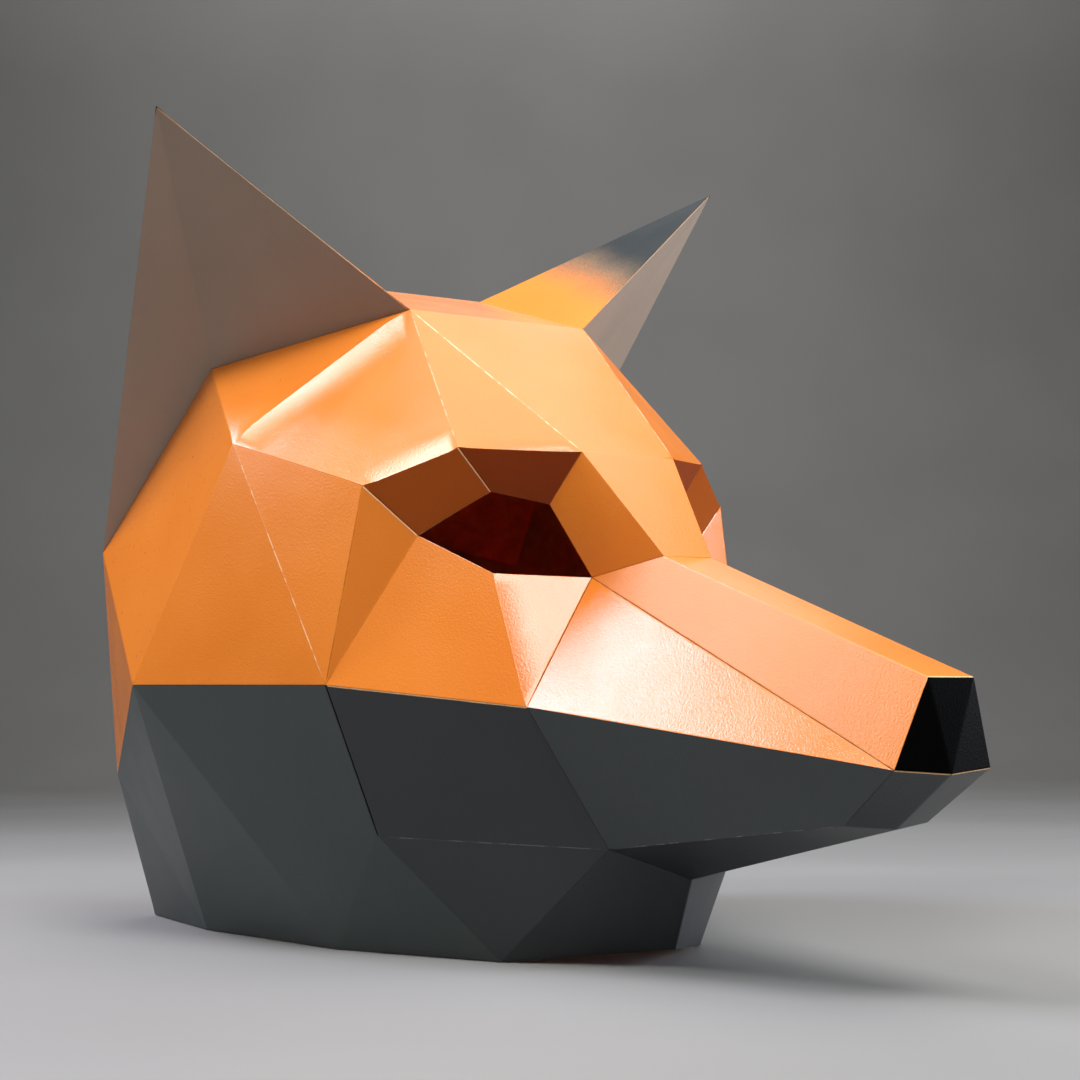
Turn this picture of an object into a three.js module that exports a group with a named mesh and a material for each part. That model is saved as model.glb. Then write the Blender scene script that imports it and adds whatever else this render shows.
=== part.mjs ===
// Full-head fox mask folded from flat card sheets, resting on its neck rim.
// Millimetres, +Z up, the muzzle points along -Y, X = 0 is the mirror plane.
// "right" is the wearer's right-hand side, X < 0.
import * as THREE from 'three';

// driving sizes
const CARD = 1.4;          // thickness of the painted card
const SEAM = 0.3;          // open joint between two neighbouring sheets
const SHAPE_SCALE = 1.0;   // multiplies every corner of the fold tables
const MAX_SHIFT = 0.9;     // longest move of a sheet corner away from its seams

// Fold corners, one row each: half width from the mirror plane, distance behind
// the cheek corners (negative is ahead of them), height above the rest plane.
const COLUMNS = ['corner', 'half_width', 'behind', 'height'];
const EAR = [
  ['ear_tip',     148.8,   72.0, 356.4],
  ['ear_front',    45.5,   36.1, 272.7],
  ['ear_fold',     98.6,  125.6, 255.0],
  ['ear_rear',    118.1,  206.8, 175.8],
  ['ear_back',     60.9,  151.2, 306.4],
];
const BROW = [
  ['temple',      113.8,   69.3, 213.4],
  ['brow_outer',   91.3,   -5.2, 189.5],
  ['brow_mid',     61.7,  -30.5, 204.1],
  ['brow_inner',   22.6,  -61.7, 201.1],
];
const EYE = [
  ['eye_outer',    70.1,  -12.7, 169.5],
  ['eye_top',      47.8,  -33.3, 186.3],
  ['eye_lid',      28.3,  -46.4, 180.9],
  ['eye_inner',    19.3,  -62.7, 150.8],
  ['eye_under',    54.5,  -45.4, 152.5],
];
const MUZZLE = [
  ['bridge',       11.5, -100.5, 157.1],
  ['nose_top',     10.4, -242.6, 107.8],
  ['nose_side',    21.8, -237.8,  77.5],
  ['nose_mid',      0.0, -241.7,  75.9],
  ['muzzle',       57.7,  -73.8,  99.6],
];
const CHEEK = [
  ['cheek',       105.5,    0.0, 109.2],
  ['jowl',        138.7,  118.4, 111.2],
];
const JAW = [
  ['jaw_hinge',    83.4,   -2.6,  48.9],
  ['jaw_corner',   30.7,  -88.5,  45.2],
  ['chin_side',    19.1, -209.7,  58.3],
  ['chin_mid',      0.0, -214.7,  56.7],
  ['throat_top',    0.0, -100.0,  33.0],
];
const RIM = [
  ['throat_rim',    0.0,  -88.9,   5.6],
  ['rim_front',    49.1,  -40.3,   0.0],
  ['rim_side',     79.1,   40.1,   0.0],
  ['rim_flank',    89.1,  149.2,   0.0],
  ['rim_rear',     79.0,  233.5,   0.0],
  ['rim_tail',     40.0,  247.2,   0.0],
];
const BACK = [
  ['crown_back',   48.0,  230.6, 196.0],
  ['nape_mid',     46.0,  238.0,  66.0],
  ['nape_side',   106.0,  216.5,  70.0],
];

// Paint colours of the sheets.
const FINISH = {
  orange:  { color: 0xdb8a43, roughness: 0.45 },
  slate:   { color: 0x3f4647, roughness: 0.50 },
  black:   { color: 0x121315, roughness: 0.40 },
  pale:    { color: 0xb3aaa0, roughness: 0.60 },
  ear_tan: { color: 0xc98450, roughness: 0.55 },
};

// Card sheets. kind "pair" is cut once for each side; kind "centre" spans the mirror
// plane. Each facet lists its corners counter-clockwise from outside, on the right side;
// a star means the same corner on the left. Facets without a star are mirrored too.
const SHEETS = [
  { sheet: 'forehead',   finish: 'orange',  kind: 'centre', facets: ['brow_inner brow_inner* ear_front* ear_front', 'bridge bridge* brow_inner* brow_inner', 'ear_front brow_mid brow_inner'] },
  { sheet: 'crown',      finish: 'orange',  kind: 'centre', facets: ['ear_front ear_front* ear_back* ear_back', 'ear_back ear_back* crown_back* crown_back'] },
  { sheet: 'temple',     finish: 'orange',  kind: 'pair',   facets: ['ear_front ear_fold temple', 'jowl temple ear_fold ear_rear', 'ear_front temple brow_outer brow_mid', 'nape_side jowl ear_rear'] },
  { sheet: 'lid_outer',  finish: 'orange',  kind: 'pair',   facets: ['eye_outer eye_top brow_mid brow_outer'] },
  { sheet: 'lid_inner',  finish: 'orange',  kind: 'pair',   facets: ['eye_top eye_lid brow_inner brow_mid', 'eye_lid eye_inner bridge brow_inner'] },
  { sheet: 'cheek',      finish: 'orange',  kind: 'pair',   facets: ['cheek brow_outer temple', 'jowl cheek temple', 'cheek eye_outer brow_outer', 'cheek muzzle eye_under eye_outer', 'muzzle eye_inner eye_under'] },
  { sheet: 'snout_top',  finish: 'orange',  kind: 'centre', facets: ['nose_top nose_top* bridge* bridge', 'bridge eye_inner nose_side nose_top'] },
  { sheet: 'snout_side', finish: 'orange',  kind: 'pair',   facets: ['eye_inner muzzle nose_side'] },
  { sheet: 'nose',       finish: 'black',   kind: 'centre', facets: ['nose_top nose_side nose_mid', 'nose_top nose_mid nose_top*'] },
  { sheet: 'jaw_side',   finish: 'slate',   kind: 'pair',   facets: ['muzzle jaw_corner chin_side nose_side'] },
  { sheet: 'jaw_under',  finish: 'slate',   kind: 'centre', facets: ['jaw_corner throat_top chin_mid chin_side', 'chin_side chin_mid nose_mid nose_side'] },
  { sheet: 'neck_cheek', finish: 'slate',   kind: 'pair',   facets: ['jaw_hinge jaw_corner muzzle cheek', 'rim_front jaw_corner jaw_hinge'] },
  { sheet: 'neck_side',  finish: 'slate',   kind: 'pair',   facets: ['rim_side jaw_hinge cheek jowl', 'rim_side rim_front jaw_hinge', 'jowl nape_side rim_flank', 'jowl rim_flank rim_side', 'nape_side rim_rear rim_flank'] },
  { sheet: 'throat',     finish: 'slate',   kind: 'centre', facets: ['jaw_corner rim_front throat_rim throat_top'] },
  { sheet: 'ear_inner',  finish: 'pale',    kind: 'pair',   facets: ['ear_tip ear_fold ear_front', 'ear_rear ear_fold ear_tip'] },
  { sheet: 'ear_outer',  finish: 'ear_tan', kind: 'pair',   facets: ['ear_tip ear_front ear_back', 'ear_tip ear_back ear_rear'] },
  { sheet: 'nape',       finish: 'orange',  kind: 'centre', facets: ['crown_back ear_rear ear_back', 'ear_rear crown_back nape_mid nape_side', 'crown_back crown_back* nape_mid* nape_mid'] },
  { sheet: 'neck_back',  finish: 'slate',   kind: 'centre', facets: ['nape_side nape_mid rim_tail rim_rear', 'nape_mid nape_mid* rim_tail* rim_tail'] },
];

// ---- corners of both halves, centred front to back ----
const rows = [EAR, BROW, EYE, MUZZLE, CHEEK, JAW, RIM, BACK].flat()
  .map(row => Object.fromEntries(COLUMNS.map((column, k) => [column, row[k]])));
const behind = rows.map(row => row.behind);
const midDepth = (Math.min(...behind) + Math.max(...behind)) / 2;
const corner = new Map();
for (const row of rows) {
  const place = side => new THREE.Vector3(side * row.half_width, row.behind - midDepth, row.height).multiplyScalar(SHAPE_SCALE);
  corner.set(row.corner, place(-1));
  if (row.half_width > 0) corner.set(row.corner + '*', place(1));
}
const mirrorName = name => name.endsWith('*') ? name.slice(0, -1) : corner.has(name + '*') ? name + '*' : name;
const mirrorFacet = facet => [mirrorName(facet[0]), ...facet.slice(1).reverse().map(mirrorName)];
const crossesPlane = facet => facet.some(name => name.endsWith('*'));

// ---- facets of every sheet ----
const sheets = [];
for (const row of SHEETS) {
  const own = row.facets.map(text => text.split(' '));
  const other = own.filter(facet => !crossesPlane(facet)).map(mirrorFacet);
  if (row.kind === 'centre') sheets.push({ name: row.sheet, finish: row.finish, facets: [...own, ...other] });
  else {
    sheets.push({ name: row.sheet + '_right', finish: row.finish, facets: own });
    sheets.push({ name: row.sheet + '_left', finish: row.finish, facets: other });
  }
}
const sides = facet => facet.map((name, k) => [name, facet[(k + 1) % facet.length]]);
const facetNormal = facet => {
  const n = new THREE.Vector3(), first = corner.get(facet[0]);
  for (let k = 1; k + 1 < facet.length; k++) {
    n.add(corner.get(facet[k]).clone().sub(first).cross(corner.get(facet[k + 1]).clone().sub(first)));
  }
  return n.normalize();
};
const allSides = new Set(sheets.flatMap(sheet => sheet.facets.flatMap(facet => sides(facet).map(side => side.join('|')))));

// Smallest move that meets a set of plane conditions (direction . move = distance).
function meetPlanes(conditions, stiffness) {
  const a = [0, 0, 0, 0, 0, 0, 0, 0, 0], b = [0, 0, 0];
  for (let k = 0; k < 3; k++) a[k * 4] = stiffness;
  for (const { direction, distance, weight } of conditions) {
    const d = direction.toArray();
    for (let i = 0; i < 3; i++) {
      b[i] += weight * distance * d[i];
      for (let j = 0; j < 3; j++) a[i * 3 + j] += weight * d[i] * d[j];
    }
  }
  return new THREE.Vector3(...b).applyMatrix3(new THREE.Matrix3().set(...a).invert());
}

// ---- inner corner below each outer corner, one card thickness inside every facet ----
const UP = new THREE.Vector3(0, 0, 1);
const throatCut = corner.get('throat_rim').clone().sub(corner.get('rim_front').clone().setX(0)).cross(new THREE.Vector3(1, 0, 0)).normalize();
const inward = new Map();
for (const [name, point] of corner) {
  const conditions = sheets.flatMap(sheet => sheet.facets).filter(facet => facet.includes(name))
    .map(facet => ({ direction: facetNormal(facet), distance: -CARD, weight: 1 }));
  if (point.z === 0) conditions.push({ direction: UP, distance: 0, weight: 1e6 });
  if (name === 'throat_rim') conditions.push({ direction: throatCut, distance: 0, weight: 1e6 });
  inward.set(name, meetPlanes(conditions, 1e-3));
}

// ---- one closed solid per sheet ----
function sheetSolid({ facets }) {
  const own = new Set(facets.flatMap(facet => sides(facet).map(side => side.join('|'))));
  const names = [...new Set(facets.flat())];
  const border = facets.flatMap(facet => sides(facet).filter(([p, q]) => !own.has(q + '|' + p)).map(side => ({ facet, side })));
  // move the corners back from the seams, inside the sheet's own facets
  const outer = new Map();
  for (const name of names) {
    const conditions = facets.filter(facet => facet.includes(name)).map(facet => ({ direction: facetNormal(facet), distance: 0, weight: 1 }));
    for (const { facet, side: [p, q] } of border) {
      if (p !== name && q !== name) continue;
      const direction = corner.get(q).clone().sub(corner.get(p)).cross(facetNormal(facet)).normalize();
      const seam = allSides.has(q + '|' + p);
      conditions.push({ direction, distance: seam ? -SEAM / 2 : 0, weight: 1 });
    }
    const move = meetPlanes(conditions, 1e-3).clampLength(0, MAX_SHIFT);
    if (corner.get(name).z === 0) move.z = 0;
    outer.set(name, corner.get(name).clone().add(move));
  }
  const index = new Map(names.map((name, k) => [name, k]));
  const points = [...names.map(name => outer.get(name)), ...names.map(name => outer.get(name).clone().add(inward.get(name)))];
  const triangles = [];
  for (const facet of facets) {
    for (let k = 1; k + 1 < facet.length; k++) {
      const [i, j, l] = [facet[0], facet[k], facet[k + 1]].map(name => index.get(name));
      triangles.push(i, j, l, i + names.length, l + names.length, j + names.length);
    }
  }
  for (const { side: [p, q] } of border) {
    const [i, j] = [index.get(p), index.get(q)], n = names.length;
    // both sheets at a seam share the same wall diagonal
    if (p.replace('*', '') < q.replace('*', '')) triangles.push(i, i + n, j + n, i, j + n, j);
    else triangles.push(i, i + n, j, j, i + n, j + n);
  }
  const geometry = new THREE.BufferGeometry();
  geometry.setAttribute('position', new THREE.Float32BufferAttribute(points.flatMap(point => point.toArray()), 3));
  geometry.setIndex(triangles);
  geometry.computeVertexNormals();
  return geometry;
}

const mask = new THREE.Group();
mask.name = 'fox_mask';
for (const sheet of sheets) {
  const material = new THREE.MeshStandardMaterial({ ...FINISH[sheet.finish], metalness: 0, flatShading: true });
  material.name = sheet.finish;
  const mesh = new THREE.Mesh(sheetSolid(sheet), material);
  mesh.name = sheet.name;
  mask.add(mesh);
}
export default mask;
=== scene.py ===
import math
import bpy
import numpy as np
from mathutils import Matrix, Vector, noise
from mathutils.bvhtree import BVHTree
from mathutils.geometry import delaunay_2d_cdt


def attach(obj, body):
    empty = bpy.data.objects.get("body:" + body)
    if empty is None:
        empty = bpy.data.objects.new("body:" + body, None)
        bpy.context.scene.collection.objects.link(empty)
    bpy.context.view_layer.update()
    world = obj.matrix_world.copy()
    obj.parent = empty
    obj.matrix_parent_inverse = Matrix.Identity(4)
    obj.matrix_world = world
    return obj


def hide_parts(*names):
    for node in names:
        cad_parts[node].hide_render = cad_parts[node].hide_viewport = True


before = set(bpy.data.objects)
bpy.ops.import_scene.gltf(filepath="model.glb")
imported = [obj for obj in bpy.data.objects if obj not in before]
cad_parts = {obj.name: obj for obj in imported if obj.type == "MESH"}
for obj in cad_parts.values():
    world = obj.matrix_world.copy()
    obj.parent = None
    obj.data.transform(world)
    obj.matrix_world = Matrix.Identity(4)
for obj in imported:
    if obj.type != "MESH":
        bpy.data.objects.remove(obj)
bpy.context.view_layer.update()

# ---------------------------------------------------------------- sizes (millimetres)
MM = 0.001
CARD = 1.4            # card thickness
GRID = 6.0            # spacing of the surface mesh on a facet
FOLD_ROUND = 0.8      # half width of the rounding of a scored fold
SEAM_ROUND = 0.35     # half width of the eased edge at a glued seam
SEAM_GAP = 0.10       # open line at a glued seam
BOW = 0.55            # how far a large facet bows out of flat
TAB_WIDE = 11.0       # glue tabs behind the seams
TAB_THICK = 0.9

# Fold corners: half width from the mirror plane, distance behind the cheek corners, height.
CORNERS = {
    # ear
    "ear_tip": (148.8, 72.0, 356.4), "ear_front": (45.5, 36.1, 272.7), "ear_fold": (98.6, 125.6, 255.0),
    "ear_rear": (118.1, 206.8, 175.8), "ear_back": (60.9, 151.2, 306.4),
    # brow
    "temple": (113.8, 69.3, 213.4), "brow_outer": (91.3, -5.2, 189.5), "brow_mid": (61.7, -30.5, 204.1),
    "brow_inner": (22.6, -61.7, 201.1),
    # eye
    "eye_outer": (70.1, -12.7, 169.5), "eye_top": (47.8, -33.3, 186.3), "eye_lid": (28.3, -46.4, 180.9),
    "eye_inner": (19.3, -62.7, 150.8), "eye_under": (54.5, -45.4, 152.5),
    # muzzle
    "bridge": (11.5, -100.5, 157.1), "nose_top": (10.4, -242.6, 107.8), "nose_side": (21.8, -237.8, 77.5),
    "nose_mid": (0.0, -241.7, 75.9), "muzzle": (57.7, -73.8, 99.6),
    # cheek
    "cheek": (105.5, 0.0, 109.2), "jowl": (138.7, 118.4, 111.2),
    # jaw
    "jaw_hinge": (83.4, -2.6, 48.9), "jaw_corner": (30.7, -88.5, 45.2), "chin_side": (19.1, -209.7, 58.3),
    "chin_mid": (0.0, -214.7, 56.7), "throat_top": (0.0, -100.0, 33.0),
    # neck rim
    "throat_rim": (0.0, -88.9, 5.6), "rim_front": (49.1, -40.3, 0.0), "rim_side": (79.1, 40.1, 0.0),
    "rim_flank": (89.1, 149.2, 0.0), "rim_rear": (79.0, 233.5, 0.0), "rim_tail": (40.0, 247.2, 0.0),
    # back of the head
    "crown_back": (48.0, 230.6, 196.0), "nape_mid": (46.0, 238.0, 66.0), "nape_side": (106.0, 216.5, 70.0),
}
SHEETS = [  # sheet, finish, spans the mirror plane, facets (corners counter-clockwise from outside, right side)
    ("forehead", "orange", True, ["brow_inner brow_inner* ear_front* ear_front", "bridge bridge* brow_inner* brow_inner", "ear_front brow_mid brow_inner"]),
    ("crown", "orange", True, ["ear_front ear_front* ear_back* ear_back", "ear_back ear_back* crown_back* crown_back"]),
    ("temple", "orange", False, ["ear_front ear_fold temple", "jowl temple ear_fold ear_rear", "ear_front temple brow_outer brow_mid", "nape_side jowl ear_rear"]),
    ("lid_outer", "orange", False, ["eye_outer eye_top brow_mid brow_outer"]),
    ("lid_inner", "orange", False, ["eye_top eye_lid brow_inner brow_mid", "eye_lid eye_inner bridge brow_inner"]),
    ("cheek", "orange", False, ["cheek brow_outer temple", "jowl cheek temple", "cheek eye_outer brow_outer", "cheek muzzle eye_under eye_outer", "muzzle eye_inner eye_under"]),
    ("snout_top", "orange", True, ["nose_top nose_top* bridge* bridge", "bridge eye_inner nose_side nose_top"]),
    ("snout_side", "orange", False, ["eye_inner muzzle nose_side"]),
    ("nose", "black", True, ["nose_top nose_side nose_mid", "nose_top nose_mid nose_top*"]),
    ("jaw_side", "slate", False, ["muzzle jaw_corner chin_side nose_side"]),
    ("jaw_under", "slate", True, ["jaw_corner throat_top chin_mid chin_side", "chin_side chin_mid nose_mid nose_side"]),
    ("neck_cheek", "slate", False, ["jaw_hinge jaw_corner muzzle cheek", "rim_front jaw_corner jaw_hinge"]),
    ("neck_side", "slate", False, ["rim_side jaw_hinge cheek jowl", "rim_side rim_front jaw_hinge", "jowl nape_side rim_flank", "jowl rim_flank rim_side", "nape_side rim_rear rim_flank"]),
    ("throat", "slate", True, ["jaw_corner rim_front throat_rim throat_top"]),
    ("ear_inner", "pale", False, ["ear_tip ear_fold ear_front", "ear_rear ear_fold ear_tip"]),
    ("ear_outer", "ear", False, ["ear_tip ear_front ear_back", "ear_tip ear_back ear_rear"]),
    ("nape", "orange", True, ["crown_back ear_rear ear_back", "ear_rear crown_back nape_mid nape_side", "crown_back crown_back* nape_mid* nape_mid"]),
    ("neck_back", "slate", True, ["nape_side nape_mid rim_tail rim_rear", "nape_mid nape_mid* rim_tail* rim_tail"]),
]

# How single edges look: rounding half width, seam gap, raw card showing on that sheet,
# light wear along the crease, dark line along the crease, raggedness.
EDGE_COLUMNS = ("round", "gap", "raw", "wear", "dark", "ragged")
BLUNT = {("ear_front", "ear_tip"): 0.85}   # cut card left blunt at an edge; elsewhere the edge is only eased
EASED = 0.30
EDGES = {
    ("ear_front", "brow_mid"):     (0.55, 0.05, "", 0.75, 0.0, 0.3),
    ("ear_front", "brow_inner"):   (0.60, 0.00, "", 1.00, 0.0, 0.3),
    ("ear_front", "temple"):       (0.8, 0.00, "", 0.10, 0.0, 0.0),
    ("brow_outer", "brow_mid"):    (0.6, 0.08, "", 0.15, 0.0, 0.0),
    ("brow_mid", "brow_inner"):    (0.6, 0.08, "", 0.15, 0.2, 0.0),
    ("brow_outer", "eye_outer"):   (0.55, 0.25, "cheek", 0.0, 0.6, 0.9),
    ("brow_mid", "eye_top"):       (0.5, 0.12, "lid_outer", 0.0, 0.4, 0.5),
    ("brow_outer", "cheek"):       (0.6, 0.00, "", 0.0, 0.8, 0.3),
    ("eye_outer", "cheek"):        (0.6, 0.00, "", 0.0, 0.6, 0.3),
    ("temple", "cheek"):           (0.6, 0.00, "", 0.85, 0.0, 0.3),
    ("bridge", "nose_top"):        (0.6, 0.00, "", 0.3, 0.35, 0.4),
    ("eye_inner", "nose_side"):    (0.6, 0.22, "", 0.5, 0.6, 0.6),
    ("eye_inner", "muzzle"):       (0.6, 0.22, "", 0.3, 0.8, 0.5),
    ("eye_under", "muzzle"):       (0.9, 0.00, "", 0.1, 0.0, 0.2),
    ("cheek", "muzzle"):           (0.5, 0.14, "neck_cheek", 0.0, 0.3, 0.4),
    ("cheek", "jowl"):             (0.5, 0.14, "", 0.2, 0.4, 0.3),
    ("muzzle", "nose_side"):       (0.5, 0.18, "", 0.3, 0.6, 0.3),
    ("jaw_hinge", "cheek"):        (0.55, 0.70, "", 0.0, 1.0, 0.3),
    ("jaw_corner", "chin_side"):   (0.55, 0.08, "", 0.95, 0.0, 0.6),
    ("jaw_hinge", "jaw_corner"):   (0.6, 0.00, "", 0.60, 0.0, 0.3),
    ("nose_mid", "nose_side"):     (0.5, 0.15, "jaw_under", 0.0, 0.4, 0.5),
    ("nose_top", "nose_top"):      (0.7, 0.12, "snout_top", 0.0, 0.3, 0.5),
    ("ear_tip", "ear_front"):      (1.0, 0.05, "ear_inner", 0.0, 0.0, 0.2),
    ("ear_tip", "ear_rear"):       (0.6, 0.05, "", 0.0, 0.0, 0.1),
    ("ear_front", "ear_fold"):     (0.4, 0.12, "", 0.0, 0.5, 0.2),
    ("ear_fold", "ear_rear"):      (0.4, 0.12, "", 0.0, 0.5, 0.2),
}
EDGES = {tuple(sorted(k)): dict(zip(EDGE_COLUMNS, v)) for k, v in EDGES.items()}
# Facets that curve towards one of their edges: edge, a corner of the facet, width, drop (below 0: the edge is raised), slope at its two ends.
SHOULDERS = [
    ("ear_front", "temple", "brow_outer", 18.0, -1.70, (-0.28, -0.19)),
    ("ear_front", "temple", "ear_fold", 12.0, -1.70, (-0.12, -0.12)),
    ("brow_outer", "brow_mid", "temple", 12.0, 1.10, (0.15, 0.25)),
    ("brow_mid", "brow_inner", "ear_front", 7.0, 0.50, (0.04, 0.40)),
    ("eye_under", "muzzle", "eye_inner", 13.0, 0.45, (0.14, 0.14)),
]
PAINTED_OVER = ["cheek_left", "lid_outer_left"]   # raw edges that the paint covers
# Facets that do not bow: corners, the edge they lean to, lean.
FLAT = [({"ear_front", "temple", "brow_outer", "brow_mid"}, {"brow_outer", "brow_mid"}, 0.07)]
SHOULDERS = {(tuple(sorted((p, q))), far): (wide, drop, dict(zip((p, q), ends))) for p, q, far, wide, drop, ends in SHOULDERS}
SPECKLED = {"jowl temple ear_fold ear_rear": 1.0, "ear_front ear_fold temple": 0.6, "ear_front temple brow_outer brow_mid": 0.3}
PAINTED_SHADE_FACETS = [set("eye_top eye_lid brow_inner brow_mid".split())]   # facets in a darker, duller orange under the brow: painted shade
TIP_WEIGHT = {"ear_tip": 1.0, "ear_back": -0.13, "ear_rear": -0.05}

# ---------------------------------------------------------------- corners and facets
depths = [c[1] for c in CORNERS.values()]
MID = (min(depths) + max(depths)) / 2
corner = {}
for name, (half, behind, up) in CORNERS.items():
    corner[name] = np.array((-half, behind - MID, up))
    if half > 0:
        corner[name + "*"] = np.array((half, behind - MID, up))


def plain(name):
    return name.rstrip("*")


def mirrored(name):
    return name[:-1] if name.endswith("*") else name + "*" if name + "*" in corner else name


def mirror_facet(f):
    return [mirrored(f[0])] + [mirrored(n) for n in reversed(f[1:])]


def unit(v):
    return v / (np.linalg.norm(v) + 1e-12)


def normal_of(points):
    n = np.zeros(3)
    for k in range(1, len(points) - 1):
        n += np.cross(points[k] - points[0], points[k + 1] - points[0])
    return unit(n)


sheets = []
for name, finish, centre, facets in SHEETS:
    own = [f.split() for f in facets]
    other = [mirror_facet(f) for f in own if not any(n.endswith("*") for n in f)]
    if centre:
        sheets.append((name, name, finish, own + other))
    else:
        sheets.append((name + "_right", name, finish, own))
        sheets.append((name + "_left", name, finish, other))
every_facet = [f for s in sheets for f in s[3]]
facet_normal = {tuple(f): normal_of([corner[n] for n in f]) for f in every_facet}


def sides(f):
    return list(zip(f, f[1:] + f[:1]))


owner = {}
for s in sheets:
    for f in s[3]:
        for p, q in sides(f):
            owner[p, q] = (s[0], tuple(f))


def solve(conditions, stiff=1e-3):
    a, b = np.eye(3) * stiff, np.zeros(3)
    for d, r, w in conditions:
        a += w * np.outer(d, d)
        b += w * r * d
    return np.linalg.solve(a, b)


cut = unit(np.cross(corner["throat_rim"] - corner["rim_front"] * (0, 1, 1), (1.0, 0, 0)))
inward = {}
for name, p in corner.items():
    rows = [(facet_normal[tuple(f)], -CARD, 1) for f in every_facet if name in f]
    if p[2] == 0:
        rows.append((np.array((0, 0, 1.0)), 0, 1e6))
    if name == "throat_rim":
        rows.append((cut, 0, 1e6))
    inward[name] = solve(rows)


def style(p, q, fold):
    base = dict(zip(EDGE_COLUMNS, (FOLD_ROUND if fold else SEAM_ROUND, 0.0 if fold else SEAM_GAP, "", 0.12 if fold else 0.08, 0.1 if fold else 0.35, 0.2)))
    base.update(EDGES.get(tuple(sorted((plain(p), plain(q)))), {}))
    return base


def wobble(p, scale, seed=0.0):
    return noise.noise(Vector((p[0] * scale + seed, p[1] * scale - seed, p[2] * scale + 0.37 * seed)))


def smooth(x, lo, hi):
    t = min(1.0, max(0.0, (x - lo) / (hi - lo)))
    return t * t * (3 - 2 * t)


def mean_value(poly, x):
    """Mean value coordinates of 2-D point x in polygon poly."""
    d = poly - x
    r = np.hypot(d[:, 0], d[:, 1])
    k = int(np.argmin(r))
    n = len(poly)
    if r[k] < 1e-7:
        w = np.zeros(n); w[k] = 1
        return w
    t = np.zeros(n)
    for i in range(n):
        j = (i + 1) % n
        c = d[i, 0] * d[j, 1] - d[i, 1] * d[j, 0]
        dot = d[i] @ d[j]
        if abs(c) < 1e-9 and dot <= 0:
            w = np.zeros(n); w[i] = r[j] / (r[i] + r[j]); w[j] = 1 - w[i]
            return w
        t[i] = (r[i] * r[j] - dot) / c if abs(c) > 1e-12 else 0.0
    w = np.array([(t[i - 1] + t[i]) / r[i] for i in range(n)])
    return w / w.sum()


def edge_distance(poly, x):
    best = 1e9
    for i in range(len(poly)):
        a, b = poly[i], poly[(i + 1) % len(poly)]
        ab = b - a
        s = min(1.0, max(0.0, (x - a) @ ab / (ab @ ab)))
        best = min(best, float(np.hypot(*(a + s * ab - x))))
    return best


# the whole folded outline, to keep the tabs inside it
hull_pts, hull_tri = [], []
for f in every_facet:
    k0 = len(hull_pts)
    hull_pts.extend(Vector(corner[x]) for x in f)
    hull_tri.extend((k0, k0 + k, k0 + k + 1) for k in range(1, len(f) - 1))
hull = BVHTree.FromPolygons(hull_pts, hull_tri)


def inside(x):
    spot, n, _, d = hull.find_nearest(Vector(x))
    return (Vector(x) - spot).dot(n) < 0 and d > CARD + 0.5


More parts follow.
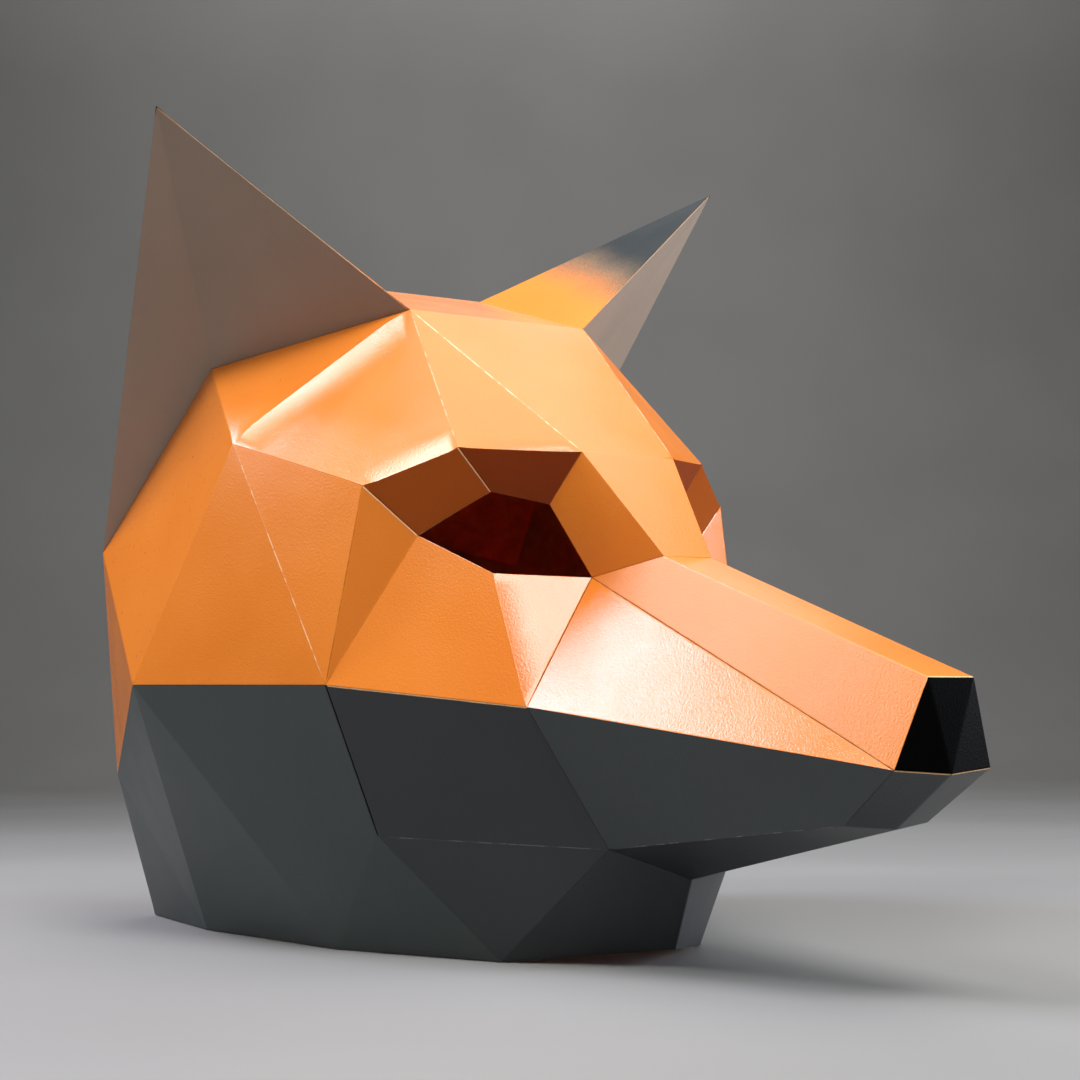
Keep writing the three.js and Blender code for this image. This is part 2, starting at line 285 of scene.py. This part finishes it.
# ---------------------------------------------------------------- one card sheet as a mesh
def build_sheet(node, family, finish, facets):
    fset = {(p, q) for f in facets for p, q in sides(f)}
    names = sorted({n for f in facets for n in f})
    # corners moved back from the seams, inside the sheet's own facets
    at = {}
    for n in names:
        rows = [(facet_normal[tuple(f)], 0.0, 1) for f in facets if n in f]
        for f in facets:
            for p, q in sides(f):
                if n in (p, q) and (q, p) not in fset:
                    d = unit(np.cross(corner[q] - corner[p], facet_normal[tuple(f)]))
                    rows.append((d, -style(p, q, False)["gap"] / 2 if (q, p) in owner else 0.0, 1))
        m = solve(rows)
        if np.linalg.norm(m) > 0.9:
            m *= 0.9 / np.linalg.norm(m)
        if corner[n][2] == 0:
            m[2] = 0
        at[n] = corner[n] + m

    verts, inner, attr, keys = [], [], [], {}
    normals, inner_n = [], []

    def vertex(key, base, offset, push, marks):
        if key is not None and key in keys:
            return keys[key]
        verts.append(base + push)
        inner.append(base + offset + push * (0.0 if marks.get("rim") else 1.0))
        attr.append(marks)
        if key is not None:
            keys[key] = len(verts) - 1
        return len(verts) - 1

    field_faces, face_slots, strip_faces, border, level = [], [], [], [], {}
    for f in facets:
        n = facet_normal[tuple(f)]
        c3 = np.array([at[x] for x in f])
        delta = np.array([inward[x] for x in f])
        mid = c3.mean(0)
        ax = unit(np.cross((0.31, 0.52, 0.79), n))
        ay = np.cross(n, ax)
        c2 = np.stack([(c3 - mid) @ ax, (c3 - mid) @ ay], 1)
        m = len(f)
        st = []
        for k, (p, q) in enumerate(sides(f)):
            e = style(p, q, (q, p) in fset)
            for (edge, far), (wide, drop, slope) in SHOULDERS.items():
                if edge == tuple(sorted((plain(p), plain(q)))) and far in [plain(x) for x in f]:
                    e = dict(e, round=wide, slope=(slope[plain(p)], slope[plain(q)]))
            st.append(e)
        inn = [np.array((-(c2[(k + 1) % m] - c2[k])[1], (c2[(k + 1) % m] - c2[k])[0])) for k in range(m)]
        inn = [unit(v) for v in inn]
        f2 = []
        for k in range(m):
            a, b = inn[k - 1], inn[k]
            w = np.linalg.solve(np.array([a, b]), np.array([st[k - 1]["round"], st[k]["round"]]))
            f2.append(c2[k] + w)
        f2 = np.array(f2)
        size = max(edge_distance(c2, c2.mean(0)), 5.0)
        text = " ".join(plain(x) for x in f)
        seed = (sum(ord(ch) * (i + 1) for i, ch in enumerate(text)) % 997) / 31.0
        flat = [(edge, lean) for corners, edge, lean in FLAT if corners == {plain(x) for x in f}]
        bow = 0.0 if flat else BOW * min(1.0, size / 40.0) * (0.35 + 0.65 * wobble((seed, 2.1, 5.7), 1.0, seed))
        speck = sum(amount for key, amount in SPECKLED.items() if set(key.split()) == {plain(x) for x in f})
        # slot 3 holds the darker, duller orange: painted shade on the lid facet under the brow
        face_slot = 3 if {plain(x) for x in f} in PAINTED_SHADE_FACETS else 0

        def place(x, key=None, wear=0.0, dark=0.0, flat=False):
            lam = mean_value(c2, x)
            base = lam @ c3
            off = lam @ delta
            d = edge_distance(c2, x)
            h = 0.0 if flat else smooth(d, 0.0, 0.8 * size) * bow + smooth(d, 1.0, 14.0) * (0.22 * wobble(base, 0.022, seed) + 0.05 * wobble(base, 0.085, 3.0))
            tip = sum(TIP_WEIGHT.get(plain(nm), 0.0) * l for nm, l in zip(f, lam))
            return vertex(key, base, off, n * h, {"wear": wear, "dark": dark, "speck": speck, "tip": tip, "edge": min(d / 12.0, 1.0)})

        loops2, ring = [], []
        strips = []
        for k, (p, q) in enumerate(sides(f)):
            fold = (q, p) in fset
            length = np.linalg.norm(corner[q] - corner[p])
            seg = max(2, int(math.ceil(length / GRID)))
            e = st[k]
            # lowered edge line: the rounding of a fold or the eased edge of a seam
            shoulder = [d for (edge, far), (w, d, sl) in SHOULDERS.items() if edge == tuple(sorted((plain(p), plain(q))))]
            if shoulder:
                curved = [g for g in every_facet for (edge, far), v in SHOULDERS.items()
                          if edge == tuple(sorted((plain(p), plain(q)))) and {p, q} <= set(g) and far in [plain(x) for x in g]]
                push = -facet_normal[tuple(curved[0])] * shoulder[0]
            elif fold:
                n2 = facet_normal[owner[q, p][1]]
                bis = unit(n + n2)
                theta = math.acos(max(-1.0, min(1.0, float(n @ n2))))
                rising = float(np.cross(n, n2) @ (corner[q] - corner[p])) > 0
                push = -bis * e["round"] * math.tan(theta / 4) * (1 if rising else -1)
            elif (q, p) in owner:
                push = -unit(n + facet_normal[owner[q, p][1]]) * BLUNT.get(tuple(sorted((plain(p), plain(q)))), EASED) * e["round"]
            else:
                push = -n * EASED * e["round"]
            canon = (p, q) if p < q else (q, p)
            edge_ids, field_ids = [], []
            for i in range(seg + 1):
                s = i / seg
                if i == 0 or i == seg:
                    nm = p if i == 0 else q
                    nn = unit(sum(facet_normal[tuple(g)] for g in facets if nm in g))
                    low = 0.12 if corner[nm][2] > 0 else 0.0
                    tipv = TIP_WEIGHT.get(plain(nm), 0.0)
                    edge_ids.append(vertex(("c", nm), at[nm], inward[nm], -nn * low, {"wear": 0.5 * e["wear"], "dark": e["dark"], "speck": 0, "tip": tipv, "edge": 0.0, "rim": 1}))
                    x2 = f2[k] if i == 0 else f2[(k + 1) % m]
                    field_ids.append(place(x2, ("f", tuple(f), nm)))
                    if i == 0:
                        loops2.append(x2); ring.append(field_ids[-1])
                else:
                    t = s if canon == (p, q) else 1 - s
                    base = at[p] * (1 - s) + at[q] * s
                    off = inward[p] * (1 - s) + inward[q] * s
                    drop = push * min(1.0, 8 * s, 8 * (1 - s))
                    if corner[p][2] == 0 and corner[q][2] == 0:
                        drop = drop * (1, 1, 0)
                    tipv = TIP_WEIGHT.get(plain(p), 0.0) * (1 - s) + TIP_WEIGHT.get(plain(q), 0.0) * s
                    edge_ids.append(vertex(("e", canon, round(t * seg)), base, off, drop, {"wear": e["wear"], "dark": e["dark"], "speck": 0, "tip": tipv, "edge": 0.0, "rim": 1}))
                    x2 = f2[k] * (1 - s) + f2[(k + 1) % m] * s
                    x2 = x2 + inn[k] * e["round"] * e["ragged"] * 0.6 * (wobble(base, 0.21, 7.0) + 0.6 * wobble(base, 0.53, 2.0))
                    field_ids.append(place(x2))
                    loops2.append(x2); ring.append(field_ids[-1])
            strips.append((edge_ids, field_ids, e, -(inn[k][0] * ax + inn[k][1] * ay)))
            if not fold:
                border.append((edge_ids, e, (p, q)))
        # facet surface: its outline and a hexagonal grid of points inside it
        grid = []
        lo, hi = f2.min(0), f2.max(0)
        row = 0
        y = lo[1]
        while y < hi[1]:
            x = lo[0] + (GRID / 2 if row % 2 else 0.0)
            while x < hi[0]:
                pt = np.array((x, y))
                sgn = all((f2[(i + 1) % m][0] - f2[i][0]) * (y - f2[i][1]) - (f2[(i + 1) % m][1] - f2[i][1]) * (x - f2[i][0]) > 0 for i in range(m))
                if (sgn or m > 4) and edge_distance(f2, pt) > 0.55 * GRID and mean_value(f2, pt).min() > -0.02:
                    grid.append(pt)
                x += GRID
            y += GRID * 0.866
            row += 1
        pts = loops2 + grid
        nb = len(loops2)
        out = delaunay_2d_cdt([Vector(pt) for pt in pts], [], [list(range(nb))], 1, 1e-5)
        ids = []
        for v2, src in zip(out[0], out[3]):
            if src and src[0] < nb:
                ids.append(ring[src[0]])
            else:
                ids.append(place(np.array((v2[0], v2[1]))))
        for tri in out[2]:
            t3 = [ids[i] for i in tri]
            a, b, c = (np.array(out[0][i]) for i in tri[:3])
            if (b - a)[0] * (c - a)[1] - (b - a)[1] * (c - a)[0] < 0:
                t3.reverse()
            field_faces.append(t3); face_slots.append(face_slot)
            for edge, lean in flat:
                k = [{plain(p), plain(q)} == edge for p, q in sides(f)].index(True)
                level.update((i, unit(n - lean * (inn[k][0] * ax + inn[k][1] * ay))) for i in t3)
        for edge_ids, field_ids, e, toward in strips:
            raw = e["raw"] == family and node not in PAINTED_OVER
            quads = [[edge_ids[i], edge_ids[i + 1], field_ids[i + 1], field_ids[i]] for i in range(len(edge_ids) - 1)]
            # a facet that curves towards this edge is steepest at the edge
            (first, second), last = e.get("slope", (0.0, 0.0)), len(quads)
            steep = [unit(n + toward * (first + (second - first) * i / last) * min(1.0, 24 * i / last, 24 * (last - i) / last)) for i in range(last + 1)]
            for i, q4 in enumerate(quads):
                strip_faces.append((q4, 1 if raw else face_slot, (steep[i], steep[i + 1]) if "slope" in e else None))

    V = np.array(verts); I = np.array(inner); nv = len(V)

    def face_normal(ids, pos):
        return normal_of([pos[i] for i in ids]) * 1.0

    def area_vec(ids, pos):
        v = np.zeros(3)
        for k in range(1, len(ids) - 1):
            v += np.cross(pos[ids[k]] - pos[ids[0]], pos[ids[k + 1]] - pos[ids[0]])
        return v

    out_n = np.zeros((nv, 3)); in_field = np.zeros(nv, bool)
    for t in field_faces:
        a = area_vec(t, V)
        for i in t:
            out_n[i] += a; in_field[i] = True
    for ids, face_slot, steep in strip_faces:
        a = area_vec(ids, V)
        for i in ids:
            if not in_field[i]:
                out_n[i] += a
    out_n /= np.linalg.norm(out_n, axis=1)[:, None] + 1e-12
    for i, n in level.items():
        out_n[i] = unit(0.88 * n + 0.12 * out_n[i])
    P = np.concatenate([V, I])
    faces, mats, loopn = [], [], []

    def add(ids, mat, nrm):
        faces.append(ids); mats.append(mat); loopn.extend(nrm)

    for t, face_slot in zip(field_faces, face_slots):
        add(t, face_slot, [out_n[i] for i in t])
        r = [i + nv for i in reversed(t)]
        add(r, 2, [-out_n[i - nv] for i in r])
    for ids, face_slot, steep in strip_faces:
        add(ids, face_slot, [steep[0], steep[1], out_n[ids[2]], out_n[ids[3]]] if steep else [out_n[i] for i in ids])
        r = [i + nv for i in reversed(ids)]
        fn = face_normal(r, P)
        add(r, 2, [fn] * len(r))
    for ids, e, seam in border:
        for a, b in zip(ids, ids[1:]):
            q = [a, a + nv, b + nv, b]
            fn = face_normal(q, P)
            add(q, 0 if (seam[1], seam[0]) in owner else 1, [fn] * 4)
    # glue tabs: the neighbour's flap lies on this sheet's inner face beside the seam
    tab_pts = []
    for f in facets:
        n = facet_normal[tuple(f)]
        for p, q in sides(f):
            if (q, p) in fset or (q, p) not in owner or owner[q, p][0] < node:
                continue
            a, b = at[p] + inward[p], at[q] + inward[q]
            length = np.linalg.norm(b - a)
            if length < 30 or "ear_tip" in (p, q):
                continue
            d = unit(b - a)
            into = unit(np.cross(n, d))
            wide = min(TAB_WIDE, 0.22 * length)
            inset = min(7.0, 0.12 * length)
            low = 0.25
            quad = [a + d * inset + into * 1.6, b - d * inset + into * 1.6, b - d * (inset + 0.8 * wide) + into * wide, a + d * (inset + 0.8 * wide) + into * wide]
            top = [x - n * low for x in quad]
            bot = [x - n * (low + TAB_THICK) for x in quad]
            if not all(inside(x) for x in bot + [(bot[i] + bot[i - 1]) / 2 for i in range(4)]):
                continue
            s0 = len(P) + len(tab_pts)
            tab_pts.extend(top + bot)
            for q4 in ([s0, s0 + 1, s0 + 2, s0 + 3], [s0 + 7, s0 + 6, s0 + 5, s0 + 4],
                       [s0, s0 + 4, s0 + 5, s0 + 1], [s0 + 1, s0 + 5, s0 + 6, s0 + 2],
                       [s0 + 2, s0 + 6, s0 + 7, s0 + 3], [s0 + 3, s0 + 7, s0 + 4, s0]):
                faces.append(q4); mats.append(2); loopn.append(("tab", q4))
    P = np.concatenate([P, np.array(tab_pts)]) if tab_pts else P
    flat_n = []
    for item in loopn:
        if isinstance(item, tuple):
            fn = face_normal(item[1], P)
            flat_n.extend([fn] * len(item[1]))
        else:
            flat_n.append(item)
    mesh = bpy.data.meshes.new("card_" + node)
    mesh.from_pydata((P * MM).tolist(), [], faces)
    mesh.polygons.foreach_set("material_index", mats)
    mesh.polygons.foreach_set("use_smooth", [True] * len(faces))
    for key in ("wear", "dark", "speck", "tip", "edge"):
        layer = mesh.attributes.new(key, "FLOAT", "POINT")
        data = np.zeros(len(P), np.float32)
        data[:nv] = [a.get(key, 0.0) for a in attr]
        if key == "edge":
            data[nv:] = 1.0
        layer.data.foreach_set("value", data)
    mesh.normals_split_custom_set([tuple(map(float, x)) for x in flat_n])
    mesh.update()
    obj = bpy.data.objects.new("card_" + node, mesh)
    bpy.context.scene.collection.objects.link(obj)
    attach(obj, "root")
    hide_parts(node)
    return obj


# ---------------------------------------------------------------- materials
def srgb(r, g, b):
    def lin(c):
        c /= 255.0
        return c / 12.92 if c <= 0.04045 else ((c + 0.055) / 1.055) ** 2.4
    return (lin(r), lin(g), lin(b), 1.0)


class Nodes:
    def __init__(self, name):
        self.mat = bpy.data.materials.new(name)
        self.mat.use_nodes = True
        self.tree = self.mat.node_tree
        self.bsdf = self.tree.nodes["Principled BSDF"]
        self.coord = self.new("ShaderNodeTexCoord").outputs["Object"]

    def new(self, kind, **values):
        node = self.tree.nodes.new(kind)
        for key, value in values.items():
            setattr(node, key, value)
        return node

    def link(self, a, b):
        self.tree.links.new(a, b)

    def noise(self, scale, detail=2.0, rough=0.5):
        node = self.new("ShaderNodeTexNoise")
        node.inputs["Scale"].default_value = scale
        node.inputs["Detail"].default_value = detail
        node.inputs["Roughness"].default_value = rough
        self.link(self.coord, node.inputs["Vector"])
        return node.outputs["Fac"]

    def ramp(self, value, lo, hi, a=0.0, b=1.0):
        node = self.new("ShaderNodeMapRange", interpolation_type="SMOOTHSTEP")
        for key, v in (("From Min", lo), ("From Max", hi), ("To Min", a), ("To Max", b)):
            node.inputs[key].default_value = v
        self.link(value, node.inputs["Value"])
        return node.outputs["Result"]

    def math(self, op, a, b):
        node = self.new("ShaderNodeMath", operation=op)
        for socket, v in zip(node.inputs, (a, b)):
            if isinstance(v, (int, float)):
                socket.default_value = v
            else:
                self.link(v, socket)
        return node.outputs[0]

    def mix(self, fac, a, b, blend="MIX"):
        node = self.new("ShaderNodeMix", data_type="RGBA", blend_type=blend)
        for socket, v in ((node.inputs[0], fac), (node.inputs[6], a), (node.inputs[7], b)):
            if isinstance(v, (int, float)):
                socket.default_value = v
            elif isinstance(v, tuple):
                socket.default_value = v
            else:
                self.link(v, socket)
        return node.outputs[2]

    def attribute(self, name):
        return self.new("ShaderNodeAttribute", attribute_name=name).outputs["Fac"]

    def bump(self, height, strength, distance, chain=None):
        node = self.new("ShaderNodeBump")
        node.inputs["Strength"].default_value = strength
        node.inputs["Distance"].default_value = distance
        self.link(height, node.inputs["Height"])
        if chain is not None:
            self.link(chain, node.inputs["Normal"])
        return node.outputs["Normal"]


def paint(name, base, light, deep, wear_colour, rough=0.21, peel=0.10, speck_colour=(0.03, 0.02, 0.015, 1), fade=None, shine=0.5):
    """Sprayed paint on card: mottled colour, orange-peel skin, worn creases and dark seam lines."""
    n = Nodes(name)
    broad = n.noise(9.0, 3.0, 0.55)
    fine = n.noise(420.0, 3.0, 0.6)
    colour = n.mix(n.ramp(broad, 0.3, 0.7), deep, light)
    colour = n.mix(0.5, colour, base)
    colour = n.mix(n.ramp(fine, 0.35, 0.75, 0.0, 0.10), colour, light)
    if fade is not None:
        drift = n.math("MULTIPLY", n.math("SUBTRACT", n.noise(28.0, 3.0, 0.6), 0.5), 0.10)
        grain = n.math("MULTIPLY", n.math("SUBTRACT", n.noise(1300.0, 2.0, 0.7), 0.5), 0.42)
        where = n.math("ADD", n.attribute("tip"), drift)
        dusted = n.math("ADD", where, grain)
        dull = n.ramp(dusted, 0.08, 0.38)
        dark = n.ramp(n.math("ADD", where, n.math("MULTIPLY", grain, 0.5)), 0.31, 0.50)
        colour = n.mix(dull, colour, fade[0])
        colour = n.mix(dark, colour, fade[1])
    # fine overspray specks
    dots = n.ramp(n.noise(760.0, 1.0, 0.4), 0.735, 0.76)
    speck = n.math("MULTIPLY", dots, n.math("ADD", n.math("MULTIPLY", n.attribute("speck"), 0.6), 0.0))
    colour = n.mix(speck, colour, speck_colour)
    # worn fold lines: broken light dashes where the paint cracked
    broken = n.ramp(n.noise(150.0, 2.0, 0.6), 0.42, 0.56)
    wear = n.math("MULTIPLY", n.ramp(n.attribute("wear"), 0.25, 0.95), n.math("ADD", n.math("MULTIPLY", broken, 0.75), 0.18))
    colour = n.mix(wear, colour, wear_colour)
    dotted = n.ramp(n.noise(260.0, 2.0, 0.6), 0.38, 0.6)
    line = n.math("MULTIPLY", n.ramp(n.attribute("dark"), 0.25, 1.1), n.math("ADD", n.math("MULTIPLY", dotted, 0.6), 0.25))
    colour = n.mix(line, colour, n.mix(0.82, colour, (0.012, 0.008, 0.006, 1)))
    n.link(colour, n.bsdf.inputs["Base Color"])
    n.link(n.ramp(n.noise(35.0, 2.0, 0.5), 0.3, 0.7, rough - 0.015, rough + 0.02), n.bsdf.inputs["Roughness"])
    skin = n.bump(n.noise(1250.0, 1.0, 0.5), peel * 1.35, 0.0006)
    skin = n.bump(n.noise(60.0, 1.0, 0.5), peel * 0.3, 0.0015, skin)
    n.link(skin, n.bsdf.inputs["Normal"])
    n.bsdf.inputs["Specular IOR Level"].default_value = shine
    return n.mat


def card(name, light, deep, rough=0.8, fibre=0.35, scale=1.0, glow=0.0):
    """Bare card: pulp mottling, short fibres and a dry surface."""
    n = Nodes(name)
    pulp = n.noise(160.0 * scale, 5.0, 0.65)
    broad = n.noise(14.0, 3.0, 0.5)
    colour = n.mix(n.ramp(pulp, 0.3, 0.7), deep, light)
    colour = n.mix(n.ramp(broad, 0.3, 0.8, 0.0, 0.25), colour, deep)
    flecks = n.ramp(n.noise(700.0, 2.0, 0.6), 0.62, 0.70, 0.0, 0.35)
    colour = n.mix(flecks, colour, deep)
    n.link(colour, n.bsdf.inputs["Base Color"])
    n.link(n.ramp(pulp, 0.2, 0.8, rough - 0.06, rough + 0.08), n.bsdf.inputs["Roughness"])
    n.link(n.bump(n.noise(520.0, 4.0, 0.65), fibre, 0.0005), n.bsdf.inputs["Normal"])
    n.bsdf.inputs["Specular IOR Level"].default_value = 0.25
    if glow:  # thin card lets a little warm light through
        n.bsdf.inputs["Subsurface Weight"].default_value = glow
        n.bsdf.inputs["Subsurface Radius"].default_value = (1.0, 0.7, 0.42)
        n.bsdf.inputs["Subsurface Scale"].default_value = 0.0011
    return n.mat


ORANGE = dict(base=srgb(227, 128, 44), light=srgb(232, 136, 52), deep=srgb(220, 119, 38), wear_colour=srgb(250, 220, 180))
MATERIALS = {
    "orange": paint("orange_paint", **ORANGE),
    # lid sheet in a darker, duller orange: painted shade under the brow
    "lid_outer": paint("orange_paint_painted_lid_shade", srgb(166, 80, 18), srgb(172, 85, 21), srgb(159, 74, 15), srgb(240, 196, 150), shine=0.12),
    "slate": paint("slate_paint", srgb(54, 61, 60), srgb(60, 68, 66), srgb(48, 54, 54), srgb(140, 144, 140), rough=0.42, peel=0.12),
    # darker slate copy: painted shade on the down- and forward-facing cheek-to-neck facets
    "neck_cheek": paint("slate_paint_painted_shade", srgb(46, 49, 51), srgb(51, 54, 56), srgb(41, 43, 46), srgb(150, 152, 150), rough=0.42, peel=0.12),
    # lighter slate copy: painted light standing in for the brighter reflection on the side-facing neck facets
    "neck_side": paint("slate_paint_painted_light", srgb(58, 67, 65), srgb(64, 74, 71), srgb(52, 60, 59), srgb(140, 144, 140), rough=0.42, peel=0.12),
    "black": paint("black_paint", srgb(4, 4, 4), srgb(6, 6, 6), srgb(2, 2, 2), srgb(44, 44, 42), rough=0.38, peel=0.08, shine=0.015),
    "pale": paint("pale_paint", srgb(162, 146, 129), srgb(169, 153, 137), srgb(152, 135, 118), srgb(222, 206, 186), rough=0.5, peel=0.08),
    "ear": paint("ear_paint", rough=0.42, shine=0.15, fade=(srgb(112, 94, 74), srgb(33, 39, 42)), **ORANGE),
}
# jaw underside and throat share the darker slate copy: painted shade
MATERIALS["jaw_under"] = MATERIALS["throat"] = MATERIALS["neck_cheek"]
# lid facet of lid_inner in a darker, duller orange: painted shade under the brow
LID_PAINTED_SHADE = paint("orange_paint_painted_socket_shade", srgb(146, 62, 10), srgb(152, 66, 12), srgb(139, 57, 8), srgb(240, 196, 150), shine=0.12)
RAW = card("raw_edge", srgb(238, 196, 150), srgb(220, 170, 118), fibre=0.5)
INSIDE = card("bare_card", srgb(238, 166, 112), srgb(218, 138, 86), fibre=0.3, glow=0.9)

for node, family, finish, facets in sheets:
    obj = build_sheet(node, family, finish, facets)
    for mat in (MATERIALS.get(family, MATERIALS[finish]), RAW, INSIDE):
        obj.data.materials.append(mat)
    # lid_inner gets slot 3, the darker orange that paints the shade under the brow
    if family == "lid_inner":
        obj.data.materials.append(LID_PAINTED_SHADE)

# ---------------------------------------------------------------- stage, light, camera
RIGHT = Vector((0.83728, -0.54670, -0.00919))
UP = Vector((-0.03753, -0.07424, 0.99653))
AHEAD = Vector((0.54548, 0.83403, 0.08267))
EYE = Vector((-492.56, -748.98 - MID, 96.79)) * MM
FOCAL_PX = 2101.06

cam = bpy.data.cameras.new("camera")
cam.sensor_width = 36.0
cam.lens = FOCAL_PX / 1080.0 * 36.0
cam.clip_start, cam.clip_end = 0.01, 50.0
cam_obj = bpy.data.objects.new("camera", cam)
m = Matrix.Identity(4)
back = -AHEAD.normalized()
right = RIGHT.normalized()
up = back.cross(right).normalized()
for i in range(3):
    m[i][0], m[i][1], m[i][2], m[i][3] = right[i], up[i], back[i], EYE[i]
cam_obj.matrix_world = m
bpy.context.scene.collection.objects.link(cam_obj)
bpy.context.scene.camera = cam_obj

# pale floor that sweeps up behind the object
flat_ahead = Vector((AHEAD.x, AHEAD.y, 0)).normalized()
flat_right = Vector((flat_ahead.y, -flat_ahead.x, 0))
profile = [(-14.0, 0.0), (2.0, 0.0)]
for k in range(1, 17):
    a = math.radians(90 * k / 16)
    profile.append((2.0 + 1.4 * math.sin(a), 1.4 * (1 - math.cos(a))))
profile.append((3.4, 4.5))
pts, quads = [], []
for d, h in profile:
    for s in (-14.0, 14.0):
        p = flat_ahead * d + flat_right * s
        pts.append((p.x, p.y, h - 0.0003))
for k in range(len(profile) - 1):
    quads.append([2 * k, 2 * k + 1, 2 * k + 3, 2 * k + 2])
sweep_mesh = bpy.data.meshes.new("floor_sweep")
sweep_mesh.from_pydata(pts, [], quads)
sweep_mesh.polygons.foreach_set("use_smooth", [True] * len(quads))
sweep = bpy.data.objects.new("floor_sweep", sweep_mesh)
bpy.context.scene.collection.objects.link(sweep)
fl = Nodes("pale_floor")
n_fl = fl.noise(3.0, 2.0)
fl.link(fl.mix(fl.ramp(n_fl, 0.3, 0.7), srgb(132, 131, 129), srgb(137, 136, 134)), fl.bsdf.inputs["Base Color"])
fl.bsdf.inputs["Roughness"].default_value = 0.7
sweep_mesh.materials.append(fl.mat)


def area(name, place, target, size, power, colour=(1, 1, 1)):
    data = bpy.data.lights.new(name, "AREA")
    data.shape = "RECTANGLE"
    data.size, data.size_y = size
    data.energy = power
    data.color = colour
    obj = bpy.data.objects.new(name, data)
    obj.location = place
    obj.rotation_mode = "QUATERNION"
    obj.rotation_quaternion = (Vector(target) - Vector(place)).to_track_quat("-Z", "Y")
    bpy.context.scene.collection.objects.link(obj)
    return obj


HEART = Vector((-0.04, -0.06, 0.13))


def from_side(direction, distance):
    return tuple(HEART + Vector(direction).normalized() * distance)


area("overhead", (0.22, -0.04, 1.40), (0.22, -0.04, 0.0), (1.44, 1.08), 13.2)
area("key", from_side((-0.09, -0.555, 0.835), 1.3), HEART, (0.5, 0.5), 12.0)
area("rim", from_side((-0.36, 0.57, 0.74), 1.15), HEART, (0.34, 0.34), 7.0, (0.93, 0.95, 1.2))
area("rim_low", from_side((-0.64, 0.60, 0.48), 1.2), HEART, (0.4, 0.4), 2.9)
area("brow", (-0.716, 0.015, 1.138), (-0.08, 0.02, 0.22), (0.27, 0.27), 6.2)
area("low_right", from_side((0.87, -0.42, 0.14), 1.4), HEART, (0.5, 0.5), 15.0, (0.94, 1.0, 1.12))
area("brow_inner", (-0.36, -0.41, 1.21), (-0.03, -0.06, 0.2), (0.15, 0.15), 1.3)
area("back_right", (1.35, 1.55, 1.53), (0.0, -0.15, 0.13), (0.8, 0.5), 1.6)
area("backdrop", (1.3, 1.9, 2.6), (1.9, 2.9, 0.9), (1.6, 0.8), 25.0)

world = bpy.data.worlds.new("studio")
world.use_nodes = True
bg = world.node_tree.nodes["Background"]
bg.inputs["Color"].default_value = (0.95, 0.97, 1.0, 1)
bg.inputs["Strength"].default_value = 0.03
bpy.context.scene.world = world
bpy.context.scene.view_settings.view_transform = "Standard"
